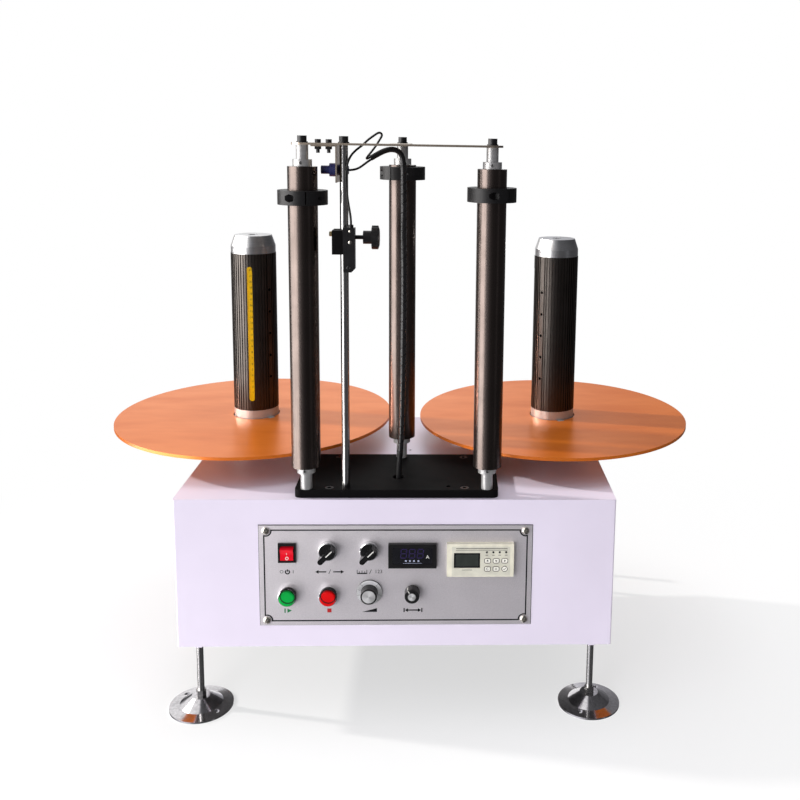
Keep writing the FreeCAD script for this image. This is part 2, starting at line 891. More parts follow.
def core_tube(side):
    """Fluted tube with a groove for the ruler and a smooth band with a row of holes."""
    name = side + "_tube"
    body = new_body(name + "_body")
    radius = S.tube_diameter / 2
    wall = sketch(body, "XY_Plane", name + "_wall")
    circle(wall, 0, 0, S.tube_diameter)
    circle(wall, 0, 0, S.tube_bore)
    pad(body, wall, name + "_pad", S.tube_length)
    flute = sketch(body, "XY_Plane", name + "_flute")
    half = S.flute_width / 2
    rectangle(flute, -half, -radius - half, half, S.flute_depth - radius)
    first = pocket(body, flute, name + "_flute_cut", upward=True)
    polar_pattern(body, first, name + "_flutes", S.flute_count)
    band = box(name + "_band", -S.band_width / 2, S.band_sink - radius, 0,
               S.band_width, S.flute_depth * 2, S.tube_length)
    row_turn = SIZES["pin_row_turn"]
    holes = []
    for step in range(SIZES["pin_hole_count"]):
        holes.append(cylinder(f"{name}_hole_{step}", S.pin_hole_diameter, radius,
                              (0, -radius - 1, S.pin_hole_rise + S.pin_hole_pitch * step), "+Y"))
    hole_row = place(group(name + "_hole_row", holes), (0, 0, 0), Vector(0, 0, 1), row_turn)
    band_row = place(group(name + "_band_row", [band]), (0, 0, 0), Vector(0, 0, 1), row_turn)
    groove = lozenge(name + "_groove", S.ruler_width + 2 * S.fit_gap, ruler_length + 2 * S.fit_gap,
                     S.groove_depth * 2, S.ruler_rise - S.fit_gap, radius + S.groove_depth)
    return cut(name + "_finished", fuse(name + "_banded", body, band_row), hole_row, groove)


def ruler():
    """Length scale let into the left core tube."""
    radius = S.tube_diameter / 2
    strip = lozenge("ruler_strip", S.ruler_width, ruler_length, S.ruler_thickness, S.ruler_rise,
                    radius - S.groove_depth + S.ruler_thickness)
    node(place(strip, (-spindle_x, spindle_y, tube_bottom)), "left_ruler")


def reels():
    reel("left", -spindle_x, SIZES["left_tube_turn"], SIZES["left_disc_turn"])
    reel("right", spindle_x, SIZES["right_tube_turn"], SIZES["right_disc_turn"])
    ruler()


def bearing(name, outer, inner, width, at):
    """Ball bearing: two races with a shield set in between them."""
    race = (outer - inner) / 6
    outer_race = tube(name + "_outer_race", outer, outer - 2 * race, width)
    inner_race = tube(name + "_inner_race", inner + 2 * race, inner, width)
    shield = place(tube(name + "_shield", outer - race, inner + race, width - 2 * S.bearing_groove),
                   (0, 0, S.bearing_groove))
    return place(fuse(name, outer_race, inner_race, shield), at)


def ball_bearings():
    bearings = []
    for side, (x, y) in SHAFTS.items():
        for level, z in (("low", roller_bottom), ("high", roller_top - S.roller_bearing_width)):
            bearings.append(bearing(f"{side}_{level}_bearing",
                                    S.roller_diameter - 2 * S.roller_wall - 2 * S.running_gap,
                                    S.shaft_diameter + 2 * S.press_gap, S.roller_bearing_width, (x, y, z)))
    for side, x in (("left", -spindle_x), ("right", spindle_x)):
        for level, z in (("lower", lower_bearing_z), ("upper", upper_bearing_z)):
            bearings.append(bearing(f"{side}_spindle_{level}_bearing", S.spindle_bearing - 2 * S.press_gap,
                                    S.spindle_shaft + 2 * S.running_gap, S.spindle_bearing_width,
                                    (x, spindle_y, z)))
    node(group("ball_bearings_group", bearings), "ball_bearings")


def bearing_housings():
    """Flanged housings let down through the cabinet top, each with a lantern for its coupling."""
    pieces = []
    for side, x in (("left", -spindle_x), ("right", spindle_x)):
        floor = housing_bottom - cabinet_top
        lantern_top = floor + S.lantern_height
        boss_top = S.housing_flange_thickness + S.housing_boss_height
        pocket_floor = boss_top - S.bearing_recess - S.spindle_bearing_width
        shell = turned(side + "_housing", [
            (S.lantern_bore, floor),
            (S.housing_barrel, floor),
            (S.housing_barrel, 0),
            (S.housing_flange, 0),
            (S.housing_flange, S.housing_flange_thickness),
            (S.housing_boss, S.housing_flange_thickness),
            (S.housing_boss, boss_top),
            (S.spindle_bearing, boss_top),
            (S.spindle_bearing, pocket_floor),
            (S.bearing_shoulder, pocket_floor),
            (S.bearing_shoulder, lantern_top + S.spindle_bearing_width),
            (S.spindle_bearing, lantern_top + S.spindle_bearing_width),
            (S.spindle_bearing, lantern_top),
            (S.lantern_bore, lantern_top),
        ])
        high = S.lantern_height - 2 * S.lantern_ledge
        low = floor + S.lantern_ledge
        across = middle_box(side + "_window_across", 0, 0, low, S.housing_flange, S.lantern_window, high)
        along = middle_box(side + "_window_along", 0, 0, low, S.lantern_window, S.housing_flange, high)
        holes = []
        for step in range(6):
            turn = math.pi * step / 3
            radius = S.housing_bolt_circle / 2
            holes.append(cylinder(f"{side}_housing_hole_{step}", S.housing_screw + 2 * S.fit_gap,
                                  2 * S.housing_flange_thickness,
                                  (radius * math.cos(turn), radius * math.sin(turn),
                                   -S.housing_flange_thickness / 2)))
        pieces.append(place(cut(side + "_housing_cut", shell, across, along, *holes),
                            (x, spindle_y, cabinet_top)))
    node(group("bearing_housings_group", pieces), "bearing_housings")


def drives():
    """Brake under the unwinding reel and motor under the rewinding reel."""
    hole = S.motor_shaft + 2 * S.fit_gap
    deep = S.motor_shaft_length + S.coupling_length
    brake = turned("brake_profile", [
        (hole, 0),
        (S.housing_barrel, 0),
        (S.brake_diameter, -S.lantern_ledge),
        (S.brake_diameter, S.lantern_ledge - S.brake_length),
        (S.housing_barrel, -S.brake_length),
        (0, -S.brake_length),
        (0, -deep),
        (hole, -deep),
    ])
    fins = []
    for step in range(3):
        fins.append(place(tube(f"brake_groove_{step}", S.brake_diameter + S.sheet,
                               S.brake_diameter - 2 * S.sheet,
                               S.sheet), (0, 0, (step + 1) * -S.brake_length / 4)))
    brake_cut = cut("brake_finished", brake, *fins)
    gland = cylinder("brake_gland", S.gland_diameter, 2 * S.gland_diameter,
                     (S.brake_diameter / 2 - S.gland_diameter, 0, -S.brake_length * 0.62), "+X")
    node(place(fuse("brake_and_gland", brake_cut, gland), (-spindle_x, spindle_y, housing_bottom)),
         "tension_brake")

    motor = turned("motor_profile", [
        (hole, 0),
        (S.motor_diameter, 0),
        (S.motor_diameter, -S.motor_flange),
        (S.motor_diameter - 2 * S.motor_flange, -S.motor_flange),
        (S.motor_diameter - 2 * S.motor_flange, -S.motor_length),
        (0, -S.motor_length),
        (0, -deep),
        (hole, -deep),
    ])
    terminal = middle_box("motor_terminal_box", 0, S.motor_diameter / 2 - S.motor_flange,
                          -S.motor_length * 0.8,
                          S.motor_diameter / 2, S.motor_flange * 4, S.motor_length / 2)
    node(place(fuse("motor_solid", motor, terminal), (spindle_x, spindle_y, housing_bottom)), "drive_motor")


def supply():
    """Power supply on the cabinet floor and the mains inlet in the back wall."""
    floor = cabinet_bottom + S.tray_thickness
    block = middle_box("supply_block", 0, front + S.supply_setback, floor, S.supply_width,
                       S.supply_depth, S.supply_height)
    terminals = middle_box("supply_terminals", S.supply_width / 2, front + S.supply_setback, floor,
                           S.gland_diameter * 2, S.supply_depth - 2 * S.gland_diameter, S.supply_height / 2)
    node(fuse("supply_solid", block, terminals), "power_supply")
    wall = front + S.cabinet_depth
    low = cabinet_bottom + S.inlet_rise
    rim = 5
    flange = middle_box("inlet_flange", S.inlet_side, wall + S.inlet_flange / 2, low - rim,
                        S.inlet_width + 2 * rim, S.inlet_flange, S.inlet_height + 2 * rim)
    body = middle_box("inlet_body", S.inlet_side, wall + S.inlet_flange - S.inlet_depth / 2, low,
                      S.inlet_width, S.inlet_depth, S.inlet_height)
    socket = middle_box("inlet_socket", S.inlet_side, wall + S.inlet_flange - S.inlet_socket_depth / 2,
                        low + rim, S.inlet_width - 4 * rim, S.inlet_socket_depth, S.inlet_height - 2 * rim)
    pins = []
    for step in (-1, 0, 1):
        pins.append(middle_box(f"inlet_pin_{step + 1}", S.inlet_side + step * 7,
                               wall + S.inlet_flange - S.inlet_socket_depth / 2 - S.sheet,
                               low + S.inlet_height / 2 - S.sheet, S.sheet, S.inlet_socket_depth - S.sheet,
                               S.sheet * 2))
    shell = cut("inlet_shell", fuse("inlet_solid", flange, body), socket)
    node(fuse("inlet_and_pins", shell, *pins), "power_inlet")


# Roller deck

def base_plate():
    body = new_body("base_plate_body")
    half = S.plate_width / 2
    near = front + S.plate_setback
    drawing = sketch(body, "XY_Plane", "plate_outline")
    rectangle(drawing, -half, near, half, near + S.plate_depth)
    pad(body, drawing, "plate_block", S.plate_thickness)
    round_uprights(body, "plate_corners", S.plate_corner)
    through = sketch(body, "XY_Plane", "plate_holes")
    for x, y in plate_bolt_places():
        circle(through, x, y, S.plate_bolt + 2 * S.fit_gap)
    for x, y in SHAFTS.values():
        circle(through, x, y, S.shaft_spigot + 2 * S.press_gap)
    circle(through, -S.rod_side, rod_y, S.plate_bolt + 2 * S.press_gap)
    circle(through, S.rod_side, rod_y, S.spare_thread)
    circle(through, 0, front + S.cable_hole_setback, S.cable_hole)
    pocket(body, through, "plate_holes_cut", upward=True)
    sink = sketch(body, "XY_Plane", "plate_sinks", S.plate_thickness)
    for x, y in plate_bolt_places():
        circle(sink, x, y, S.bolt_head + 2 * S.sink_gap)
    pocket(body, sink, "plate_sinks_cut", S.bolt_head_height + S.sink_gap)
    node(place(body, (0, 0, cabinet_top)), "base_plate")


def deck_bolts():
    """Screws that hold the base plate and the bearing housings to the cabinet top."""
    screws = []
    for index, (x, y) in enumerate(plate_bolt_places()):
        seat = plate_top - S.bolt_head_height - S.sink_gap
        grip = S.plate_thickness - S.bolt_head_height - S.sink_gap + S.sheet
        bolt = cap_screw(f"plate_bolt_{index}", S.plate_bolt, grip + 2 * S.plate_bolt, S.bolt_head,
                         S.bolt_head_height, S.bolt_socket, (x, y, seat))
        nut = hexagon(f"plate_nut_{index}", S.bolt_head, S.nut_height,
                      (x, y, cabinet_top - S.sheet - S.nut_height))
        screws.append(fuse(f"plate_bolt_and_nut_{index}", bolt, nut))
    for index, (x, y) in enumerate(housing_bolt_places()):
        seat = cabinet_top + S.housing_flange_thickness
        grip = S.housing_flange_thickness + S.sheet
        screw = cap_screw(f"housing_screw_{index}", S.housing_screw, grip + 2 * S.housing_screw,
                          S.housing_screw_head, S.housing_screw, S.housing_screw_socket, (x, y, seat))
        nut = hexagon(f"housing_nut_{index}", S.housing_screw_head, S.nut_height,
                      (x, y, cabinet_top - S.sheet - S.nut_height))
        screws.append(fuse(f"housing_screw_and_nut_{index}", screw, nut))
    node(group("deck_bolts_group", screws), "deck_bolts")


def roller_shafts():
    """Fixed shafts of the guide rollers, each with a spigot below and a tapped hole on top."""
    shafts = []
    for side, (x, y) in SHAFTS.items():
        shaft = turned(side + "_roller_shaft", [
            (0, -S.plate_thickness),
            (S.shaft_spigot, -S.plate_thickness),
            (S.shaft_spigot, 0),
            (S.shaft_diameter, 0),
            (S.shaft_diameter, S.tie_height),
            (S.plate_bolt + 2 * S.tap_gap, S.tie_height),
            (S.plate_bolt + 2 * S.tap_gap, S.tie_height - S.tapped_depth),
            (0, S.tie_height - S.tapped_depth),
        ])
        shafts.append(place(shaft, (x, y, plate_top)))
    node(group("roller_shafts_group", shafts), "roller_shafts")


def sensor_rod():
    rod = turned("rod_profile", [
        (0, -S.plate_thickness),
        (S.plate_bolt, -S.plate_thickness),
        (S.plate_bolt, 0),
        (S.rod_diameter, 0),
        (S.rod_diameter, S.tie_height),
        (S.plate_bolt + 2 * S.tap_gap, S.tie_height),
        (S.plate_bolt + 2 * S.tap_gap, S.tie_height - S.tapped_depth),
        (0, S.tie_height - S.tapped_depth),
    ])
    node(place(rod, (-S.rod_side, rod_y, plate_top)), "sensor_rod")


def shaft_collars():
    """Set collars below and above each roller, with a set screw hole that faces the front."""
    collars = []
    for side, (x, y) in SHAFTS.items():
        for level, z in (("low", roller_bottom - S.seat_gap - S.collar_height),
                         ("high", roller_top + S.seat_gap)):
            name = f"{side}_{level}_collar"
            ring = tube(name, S.collar_diameter, S.shaft_diameter + 2 * S.press_gap, S.collar_height)
            hole = cylinder(name + "_screw_hole", S.set_screw, S.collar_diameter / 2,
                            (0, -S.collar_diameter / 2 - 1, S.collar_height / 2), "+Y")
            collars.append(place(cut(name + "_drilled", ring, hole), (x, y, z)))
    node(group("shaft_collars_group", collars), "shaft_collars")


def tie_plate():
    """T-shaped plate across the tops of the shafts and the rod."""
    half = S.tie_width / 2
    bar = box("tie_bar", -roller_x, roller_y - half, tie_bottom, S.roller_spacing, S.tie_width,
              S.tie_thickness)
    leg = box("tie_leg", -half, roller_y, tie_bottom, S.tie_width, rear_roller_y - roller_y,
              S.tie_thickness)
    ends = []
    holes = []
    for side, (x, y) in SHAFTS.items():
        ends.append(cylinder(side + "_tie_end", S.tie_width, S.tie_thickness, (x, y, tie_bottom)))
        holes.append(cylinder(side + "_tie_hole", S.plate_bolt + 2 * S.fit_gap, 3 * S.tie_thickness,
                              (x, y, tie_bottom - S.tie_thickness)))
    holes.append(cylinder("rod_tie_hole", S.plate_bolt + 2 * S.fit_gap, 3 * S.tie_thickness,
                          (-S.rod_side, rod_y, tie_bottom - S.tie_thickness)))
    for index, x in enumerate(bracket_screw_places()):
        holes.append(cylinder(f"bracket_tie_hole_{index}", S.bracket_screw + 2 * S.fit_gap,
                              3 * S.tie_thickness,
                              (x, roller_y, tie_bottom - S.tie_thickness)))
    node(cut("tie_plate_cut", fuse("tie_solid", bar, leg, *ends), *holes), "tie_plate")


def bracket_screw_places():
    """The two screws that hold the sensor bracket under the tie plate."""
    far = -S.bracket_side - S.bracket_screw_inset
    return [far - S.bracket_screw_pitch, far]


def top_screws():
    screws = []
    tops = list(SHAFTS.values()) + [(-S.rod_side, rod_y)]
    for index, (x, y) in enumerate(tops):
        screws.append(cap_screw(f"top_screw_{index}", S.plate_bolt, S.tie_thickness + 2 * S.plate_bolt,
                                S.bolt_head,
                                S.bolt_head_height, S.bolt_socket, (x, y, tie_top), S.washer_diameter))
    for index, x in enumerate(bracket_screw_places()):
        grip = S.tie_thickness + S.bracket_sheet
        screw = cap_screw(f"bracket_screw_{index}", S.bracket_screw, grip + S.bracket_screw_tail,
                          S.bracket_screw_head, S.bracket_screw, S.bracket_screw_socket,
                          (x, roller_y, tie_top))
        nut = hexagon(f"bracket_nut_{index}", S.bracket_nut, S.bracket_nut_height,
                      (x, roller_y, tie_bottom - S.bracket_sheet - S.bracket_nut_height))
        screws.append(fuse(f"bracket_screw_and_nut_{index}", screw, nut))
    node(group("top_screws_group", screws), "top_screws")


def guide_rollers():
    """Anodised tubes; the left one carries a small screw that its sensor counts."""
    bore = S.roller_diameter - 2 * S.roller_wall
    for side, (x, y) in SHAFTS.items():
        barrel = tube(side + "_roller_tube", S.roller_diameter, bore, roller_length)
        if side == "left":
            screw = cylinder("target_screw", S.target_screw, S.roller_wall + S.target_height,
                             (bore / 2 + S.roller_wall / 4, 0, roller_length - S.target_drop), "+X")
            barrel = fuse("left_roller_and_target", barrel, screw)
            barrel = place(barrel, (x, y, roller_bottom), Vector(0, 0, 1), SIZES["target_turn"])
        node(place_keep(barrel, (x, y, roller_bottom)), side + "_roller")


def place_keep(thing, at):
    """Moves an object without changing its rotation."""
    rotation = thing.Placement.Rotation
    return place(thing, at, rotation.Axis, math.degrees(rotation.Angle))


def guide_ring(side, split_turn, drop):
    """Split clamp collar on a roller: slit in front, screw across it and a pocket for its nut."""
    name = side + "_ring"
    x, y = SHAFTS[side]
    bore = S.roller_diameter + 2 * S.ring_slide_gap
    radius = S.ring_outer / 2
    ring = tube(name, S.ring_outer, bore, S.ring_thickness)
    slit = middle_box(name + "_slit", 0, -(radius + bore / 2) / 2, -1, S.ring_slit, radius,
                      S.ring_thickness + 2)
    half = S.ring_thickness / 2
    hole = cylinder(name + "_screw_hole", S.ring_screw + 2 * S.thread_gap, S.ring_outer,
                    (-radius, -S.ring_screw_offset, half), "+X")
    nut_side = S.ring_pocket_start
    pocket_tool = hexagon(name + "_nut_pocket", S.ring_nut, radius,
                          (-radius - nut_side, -S.ring_screw_offset, half), "+X")
    screw_end = S.ring_screw_end
    screw = cylinder(name + "_screw", S.ring_screw, nut_side + screw_end,
                     (-nut_side, -S.ring_screw_offset, half), "+X")
    body = cut(name + "_body", ring, slit, hole, pocket_tool)
    whole = group(name + "_whole", [body, screw])
    node(place(whole, (x, y, roller_top - drop), Vector(0, 0, 1), split_turn), side + "_guide_ring")


def guide_rings():
    guide_ring("left", SIZES["left_ring_turn"], S.left_ring_drop)
    guide_ring("right", SIZES["right_ring_turn"], S.right_ring_drop)
    guide_ring("rear", SIZES["rear_ring_turn"], S.rear_ring_drop)


# Roller sensor and label sensor

def roller_sensor():
    """Proximity sensor that looks at the left roller, held by a bent bracket under the tie plate."""
    flange_end = -S.bracket_side
    near = front + S.bracket_setback
    length = S.bracket_reach
    shelf = box("bracket_shelf", flange_end - length, near, tie_bottom - S.bracket_sheet,
                length, S.bracket_width, S.bracket_sheet)
    wall = box("bracket_wall", flange_end - S.bracket_sheet, near, tie_bottom - S.bracket_drop,
               S.bracket_sheet, S.bracket_width, S.bracket_drop)
    axis_y = front + S.sensor_setback
    axis_z = tie_bottom - S.sensor_drop
    eye = cylinder("bracket_eye", S.sensor_body + 2 * S.fit_gap, 4 * S.bracket_sheet,
                   (flange_end - 3 * S.bracket_sheet, axis_y, axis_z), "+X")
    screw_holes = []
    for index, x in enumerate(bracket_screw_places()):
        screw_holes.append(cylinder(f"bracket_hole_{index}", S.bracket_screw + 2 * S.fit_gap,
                                    3 * S.bracket_sheet,
                                    (x, roller_y, tie_bottom - 2 * S.bracket_sheet)))
    node(cut("bracket_cut", fuse("bracket_bend", shelf, wall), eye, *screw_holes), "sensor_bracket")

    collar_start = flange_end - S.bracket_sheet - S.sensor_collar_length
    tip_start = collar_start - S.sensor_tip_length
    tail_end = flange_end + S.sensor_tail
    barrel = cylinder("sensor_barrel", S.sensor_body, tail_end - tip_start, (tip_start, axis_y, axis_z),
                      "+X")
    collar = cylinder("sensor_collar_ring", S.sensor_collar, S.sensor_collar_length,
                      (collar_start, axis_y, axis_z), "+X")
    nut = cylinder("sensor_back_nut", S.sensor_nut, S.sensor_nut_thickness, (flange_end, axis_y, axis_z),
                   "+X")
    node(fuse("sensor_solid", barrel, collar, nut), "roller_sensor")


def rod_carriage():
    """Clamp block on the rod with the label sensor on its front."""
    x = S.holder_offset - S.rod_side
    low = plate_top + S.holder_rise
    block = middle_box("holder_block", x, rod_y, low, S.holder_width, S.holder_depth, S.holder_height)
    bore = cylinder("holder_bore", S.rod_diameter + 2 * S.ring_slide_gap, 2 * S.holder_height,
                    (-S.rod_side, rod_y, low - S.holder_height / 2))
    slit = box("holder_slit_cut", x - S.holder_width, rod_y - S.holder_slit / 2, low - 1,
               S.holder_width, S.holder_slit, S.holder_height + 2)
    knob_z = low + S.knob_rise
    thread = cylinder("holder_thread", S.knob_stem + 2 * S.running_gap, S.holder_width,
                      (x, rod_y, knob_z), "+X")
    node(cut("holder_cut", block, bore, slit, thread), "sensor_holder")

    sensor_x = S.label_sensor_side - S.rod_side
    sensor_z = low + S.holder_height + S.label_sensor_lift - S.label_sensor_height
    sensor_y = rod_y - S.holder_depth / 2 - S.label_sensor_depth / 2
    case = middle_box("label_case", sensor_x, sensor_y, sensor_z, S.label_sensor_width,
                      S.label_sensor_depth,
                      S.label_sensor_height)
    bevel = middle_box("label_bevel", 0, 0, -S.label_bevel / 2, S.label_bevel, 2 * S.label_sensor_depth,
                       S.label_bevel)
    place(bevel, (sensor_x + S.label_sensor_width / 2, sensor_y - S.label_sensor_depth,
                  sensor_z - S.label_bevel * 0.7),
          Vector(0, 1, 0), -45)
    gland = cylinder("label_gland", S.label_eye, S.label_gland_height,
                     (sensor_x + S.label_gland_side, sensor_y, sensor_z + S.label_sensor_height))
    node(fuse("label_sensor_solid", cut("label_case_cut", case, bevel), gland), "label_sensor")

    stem_start = S.rod_diameter / 2 + S.ring_slide_gap + S.seat_gap
    block_face = S.holder_offset + S.holder_width / 2
    hub_start = block_face + S.knob_stem_reach
    wheel_start = hub_start + S.knob_hub_length
    wheel_end = wheel_start + S.knob_wheel_length
    knob = turned("clamp_knob_profile", [
        (0, stem_start),
        (S.knob_stem, stem_start),
        (S.knob_stem, hub_start),
        (S.knob_hub, hub_start),
        (S.knob_hub, wheel_start),
        (S.knob_wheel, wheel_start),
        (S.knob_wheel, wheel_end - S.knob_dome),
        (S.knob_wheel - 6 * S.knob_dome, wheel_end),
        (0, wheel_end),
    ])
    grip = sketch(knob, "XY_Plane", "knob_grip", wheel_start)
    circle(grip, 0, S.knob_wheel / 2 + S.knob_scallop / 4, S.knob_scallop)
    scallop = pocket(knob, grip, "knob_grip_cut", S.knob_wheel_length * 2, upward=True)
    polar_pattern(knob, scallop, "knob_scallops", S.knob_lobes)
    node(place(knob, (-S.rod_side, rod_y, knob_z), *AXES["+X"]), "clamp_knob")


# Control panel

def front_place(thing, x, z, out=0, turn=0):
    """Puts a piece built upwards on the face of the panel, so that it stands out toward the user."""
    facing = FreeCAD.Rotation(Vector(1, 0, 0), 90)
    spin = FreeCAD.Rotation(Vector(0, 0, 1), turn)
    rotation = facing.multiply(spin)
    return place(thing, (x, panel_face - out, panel_z + z), rotation.Axis, math.degrees(rotation.Angle))


def panel_screw_places():
    places = []
    for x in (-S.panel_screw_x, S.panel_screw_x):
        for z in (-S.panel_screw_z, S.panel_screw_z):
            places.append((x, z))
    return places


def control_panel():
    """Sheet that carries the controls over the window in the cabinet front."""
    body = new_body("control_panel_body")
    half = S.panel_width / 2
    high = S.panel_height / 2
    drawing = sketch(body, "XY_Plane", "panel_outline")
    rectangle(drawing, -half, -high, half, high)
    pad(body, drawing, "panel_sheet_pad", S.panel_sheet)
    openings = sketch(body, "XY_Plane", "panel_openings")
    gap = S.fit_gap
    cut_out(openings, -S.column_rocker, S.row_rocker, S.rocker_body_width + 2 * gap,
            S.rocker_body_height + 2 * gap)
    cut_out(openings, S.column_right, S.meter_row, S.meter_width - 2 * S.meter_body_inset + 2 * gap,
            S.meter_height - 2 * S.meter_body_inset + 2 * gap)
    cut_out(openings, S.counter_column, S.counter_row, S.counter_width - 2 * S.counter_body_inset + 2 * gap,
            S.counter_height - 2 * S.counter_body_inset + 2 * gap)
    for x, z in switch_places():
        circle(openings, x, z, S.switch_barrel + 2 * gap)
    for x, z in dial_places():
        circle(openings, x, z, S.potentiometer_bush + 2 * gap)
    for x, z in panel_screw_places():
        circle(openings, x, z, S.panel_screw + 2 * gap)
    pocket(body, openings, "panel_openings_cut", upward=True)
    node(place(body, (0, front, panel_z), Vector(1, 0, 0), 90), "control_panel")


def cut_out(drawing, x, z, width, height):
    rectangle(drawing, x - width / 2, z - height / 2, x + width / 2, z + height / 2)


def switch_places():
    """Two selectors above, two buttons below."""
    return [
        (-S.column_left, S.row_selector),
        (-S.column_middle, S.row_selector),
        (-S.column_rocker, -S.row_button),
        (-S.column_left, -S.row_button),
    ]


def dial_places():
    """Speed dial and tension knob."""
    return [(-S.column_middle, -S.row_knob), (S.column_right, -S.row_knob)]


def switch_bodies():
    """Fixed parts of the selectors, the buttons and the two dials."""
    bodies = []
    behind = S.panel_sheet + S.switch_depth
    for index, (x, z) in enumerate(switch_places()):
        barrel = turned(f"switch_{index}", [
            (S.switch_stem + 2 * S.running_gap, S.sheet / 2),
            (S.switch_ring - 2 * S.switch_wall, S.sheet / 2),
            (S.switch_ring - 2 * S.switch_wall, S.switch_ring_height),
            (S.switch_ring - S.switch_wall, S.switch_ring_height),
            (S.switch_ring, S.switch_ring_height - S.switch_wall / 2),
            (S.switch_ring, 0),
            (S.switch_barrel, 0),
            (S.switch_barrel, -behind),
            (S.switch_stem + 2 * S.running_gap, -behind),
        ])
        block = middle_box(f"switch_block_{index}", 0, 0, -behind, S.switch_block, S.switch_block,
                           S.switch_depth / 2)
        core = cylinder(f"switch_core_{index}", S.switch_stem + 2 * S.running_gap, S.switch_depth * 2,
                        (0, 0, S.sheet - S.switch_depth * 2))
        whole = cut(f"switch_cut_{index}", fuse(f"switch_solid_{index}", barrel, block), core)
        bodies.append(front_place(whole, x, z))
    for index, (x, z) in enumerate(dial_places()):
        bush = cylinder(f"bush_{index}", S.potentiometer_bush, S.panel_sheet * 2,
                        (0, 0, -2 * S.panel_sheet))
        case = cylinder(f"potentiometer_{index}", S.potentiometer_body, S.potentiometer_depth,
                        (0, 0, -2 * S.panel_sheet - S.potentiometer_depth))
        bore = cylinder(f"potentiometer_bore_{index}", S.potentiometer_shaft + 2 * S.running_gap,
                        S.potentiometer_depth, (0, 0, -S.potentiometer_depth))
        whole = cut(f"potentiometer_cut_{index}", fuse(f"potentiometer_solid_{index}", bush, case), bore)
        bodies.append(front_place(whole, x, z))
    node(group("switch_bodies_group", bodies), "switch_bodies")


def selector(name, place_index, turn):
    """Round rotary switch with a long handle."""
    x, z = switch_places()[place_index]
    seat = S.sheet / 2 + S.seat_gap
    bore = S.switch_ring - 2 * S.switch_wall - 2 * S.turn_gap
    disc_body = turned(name + "_disc", [
        (0, -S.switch_depth / 2),
        (S.switch_stem, -S.switch_depth / 2),
        (S.switch_stem, seat),
        (bore, seat),
        (bore, S.switch_ring_height + 1),
        (0, S.switch_ring_height + 1),
    ])
    end = S.selector_handle_width / 2
    reach = S.selector_handle_length * 0.57
    back = S.selector_handle_length - reach
    handle = box(name + "_handle", -back, -end, S.switch_ring_height, S.selector_handle_length - end,
                 S.selector_handle_width, S.selector_handle_height)
    tip = cylinder(name + "_tip", S.selector_handle_width, S.selector_handle_height,
                   (reach - end, 0, S.switch_ring_height))
    node(front_place(fuse(name + "_solid", disc_body, handle, tip), x, z, 0, turn), name)


def button(name, place_index):
    """Push button in a ring."""
    x, z = switch_places()[place_index]
    cap_bottom = S.sheet / 2 + S.button_travel + S.seat_gap
    top = S.switch_ring_height + S.button_rise
    wide = S.switch_ring - 2 * S.switch_wall - 2 * S.turn_gap
    body = turned(name + "_turned_body", [
        (0, -S.switch_depth / 2),
        (S.switch_stem, -S.switch_depth / 2),
        (S.switch_stem, cap_bottom),
        (wide, cap_bottom),
        (wide, top - S.button_rise / 3),
        (wide - S.button_rise, top),
        (0, top),
    ])
    node(front_place(body, x, z), name)


def dial_knob(name, place_index, skirt, skirt_height, diameter, height, cap):
    """Fluted knob with a bright cap; its spindle passes through the panel."""
    x, z = dial_places()[place_index]
    lift = S.seat_gap
    groove = S.knob_flute
    profile = [
        (0, -S.potentiometer_depth / 2),
        (S.potentiometer_shaft, -S.potentiometer_depth / 2),
        (S.potentiometer_shaft, lift),
        (skirt, lift),
        (skirt, lift + skirt_height),
        (diameter, lift + skirt_height),
        (diameter - groove, height - groove),
        (cap + groove, height - groove),
        (cap, height),
        (0, height),
    ]
    body = turned(name + "_turned_body", profile)
    drawing = sketch(body, "XY_Plane", name + "_flute", lift + skirt_height)
    circle(drawing, 0, diameter / 2 + groove / 4, groove)
    first = pocket(body, drawing, name + "_flute_cut", height, upward=True)
    polar_pattern(body, first, name + "_flutes", S.knob_flutes)
    node(front_place(body, x, z), name)


